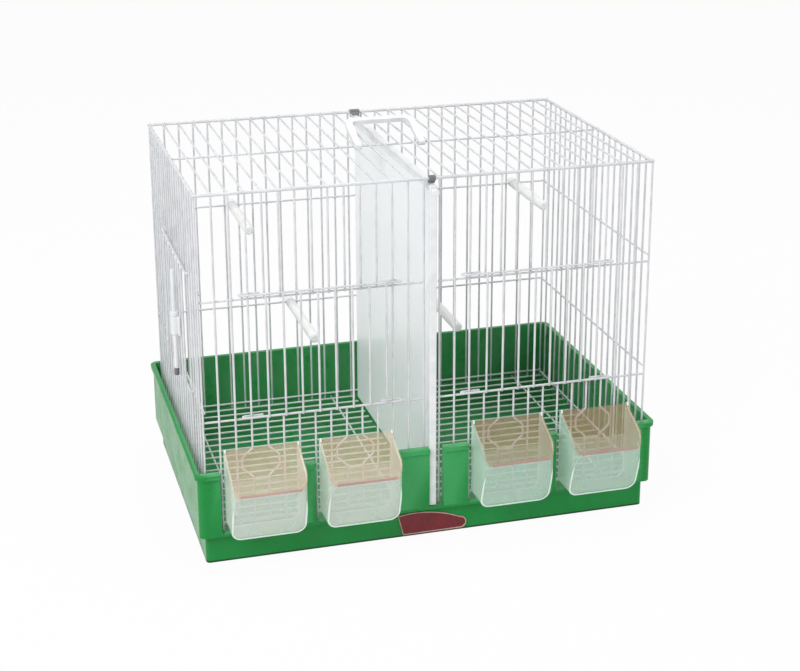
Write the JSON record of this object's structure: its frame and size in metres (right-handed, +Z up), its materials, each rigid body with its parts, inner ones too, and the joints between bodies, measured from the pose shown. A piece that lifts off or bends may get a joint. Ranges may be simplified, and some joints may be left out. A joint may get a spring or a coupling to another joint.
{
  "type": "canary breeding cage",
  "caption": "White wire breeding cage in two compartments on a stepped green tray, with lifting doors, a pull-out divider, outside seed and water cups, perches and a carry handle.",
  "frame": {"origin": "middle of the tray's underside, on the surface the cage stands on", "axes": "+X to the right along the front, +Y to the back, +Z up"},
  "size_m": [0.4592, 0.3428, 0.3725],
  "materials": {
    "white_wire": "white plastic-coated steel wire, satin",
    "grille_wire": "galvanised and coated steel wire, satin",
    "tray_plastic": "moulded green plastic, semi-gloss",
    "badge_red": "smooth dark red plate with a pale edge, bare",
    "white_plastic": "moulded white plastic, semi-gloss",
    "divider_sheet": "opaque white sheet, faintly satin",
    "dark_plastic": "dark grey plastic",
    "perch_plastic": "pale grey plastic",
    "clear_cup": "clear moulded plastic, faint green edges",
    "tinted_hood": "clear moulded plastic with a pink-brown tint"
  },
  "bodies": {
    "tray": {"base_tray": "tray_plastic", "front_badge": "badge_red", "floor_grille_left": "grille_wire", "floor_grille_right": "grille_wire"},
    "cage": {"front_panel": "white_wire", "back_panel": "white_wire", "side_panel_left": "white_wire", "side_panel_right": "white_wire", "top_panel": "white_wire", "divider_guide": "white_plastic", "front_clip": "dark_plastic", "rear_clip": "dark_plastic", "perch_lower_left": "perch_plastic", "perch_lower_right": "perch_plastic", "perch_upper_left": "perch_plastic", "perch_upper_right": "perch_plastic"},
    "divider": {"divider_panel": "divider_sheet", "divider_edge": "white_plastic", "divider_knob": "white_plastic"},
    "left_front_door": {"door_left": "white_wire"},
    "right_front_door": {"door_right": "white_wire"},
    "left_side_door": {"side_door": "white_wire", "bolt_sleeve": "white_plastic"},
    "drop_bolt": {"side_bolt": "white_plastic", "bolt_tip": "dark_plastic"},
    "handle": {"carry_handle": "white_plastic"},
    "feeder_1": {"feeder_cup_1": "clear_cup"},
    "hood_1": {"feeder_hood_1": "tinted_hood"},
    "feeder_2": {"feeder_cup_2": "clear_cup"},
    "hood_2": {"feeder_hood_2": "tinted_hood"},
    "feeder_3": {"feeder_cup_3": "clear_cup"},
    "hood_3": {"feeder_hood_3": "tinted_hood"},
    "feeder_4": {"feeder_cup_4": "clear_cup"},
    "hood_4": {"feeder_hood_4": "tinted_hood"}
  },
  "joints": [
    {"name": "cage_lift", "type": "slide", "parent": "tray", "child": "cage", "axis": [0, 0, 1], "range_m": [0, 0.1]},
    {"name": "divider_pull", "type": "slide", "parent": "cage", "child": "divider", "axis": [0, -1, 0], "range_m": [0, 0.28]},
    {"name": "left_door_lift", "type": "slide", "parent": "cage", "child": "left_front_door", "axis": [0, 0, 1], "range_m": [0, 0.088]},
    {"name": "right_door_lift", "type": "slide", "parent": "cage", "child": "right_front_door", "axis": [0, 0, 1], "range_m": [0, 0.088]},
    {"name": "side_door_lift", "type": "slide", "parent": "cage", "child": "left_side_door", "axis": [0, 0, 1], "range_m": [0, 0.08]},
    {"name": "drop_bolt_lift", "type": "slide", "parent": "left_side_door", "child": "drop_bolt", "axis": [0, 0, 1], "range_m": [0, 0.02]},
    {"name": "handle_swing", "type": "hinge", "parent": "cage", "child": "handle", "pos_m": [0, 0, 0.3537], "axis": [1, 0, 0], "range_deg": [0, 140]},
    {"name": "feeder_1_pull", "type": "slide", "parent": "cage", "child": "feeder_1", "axis": [0, -1, 0], "range_m": [0, 0.06]},
    {"name": "hood_1_lift", "type": "hinge", "parent": "feeder_1", "child": "hood_1", "pos_m": [-0.165, -0.1468, 0.11189], "axis": [-1, 0, 0], "range_deg": [0, 100]},
    {"name": "feeder_2_pull", "type": "slide", "parent": "cage", "child": "feeder_2", "axis": [0, -1, 0], "range_m": [0, 0.06]},
    {"name": "hood_2_lift", "type": "hinge", "parent": "feeder_2", "child": "hood_2", "pos_m": [-0.075, -0.1468, 0.11189], "axis": [-1, 0, 0], "range_deg": [0, 100]},
    {"name": "feeder_3_pull", "type": "slide", "parent": "cage", "child": "feeder_3", "axis": [0, -1, 0], "range_m": [0, 0.06]},
    {"name": "hood_3_lift", "type": "hinge", "parent": "feeder_3", "child": "hood_3", "pos_m": [0.075, -0.1468, 0.11189], "axis": [-1, 0, 0], "range_deg": [0, 100]},
    {"name": "feeder_4_pull", "type": "slide", "parent": "cage", "child": "feeder_4", "axis": [0, -1, 0], "range_m": [0, 0.06]},
    {"name": "hood_4_lift", "type": "hinge", "parent": "feeder_4", "child": "hood_4", "pos_m": [0.165, -0.1468, 0.11189], "axis": [-1, 0, 0], "range_deg": [0, 100]}
  ]
}
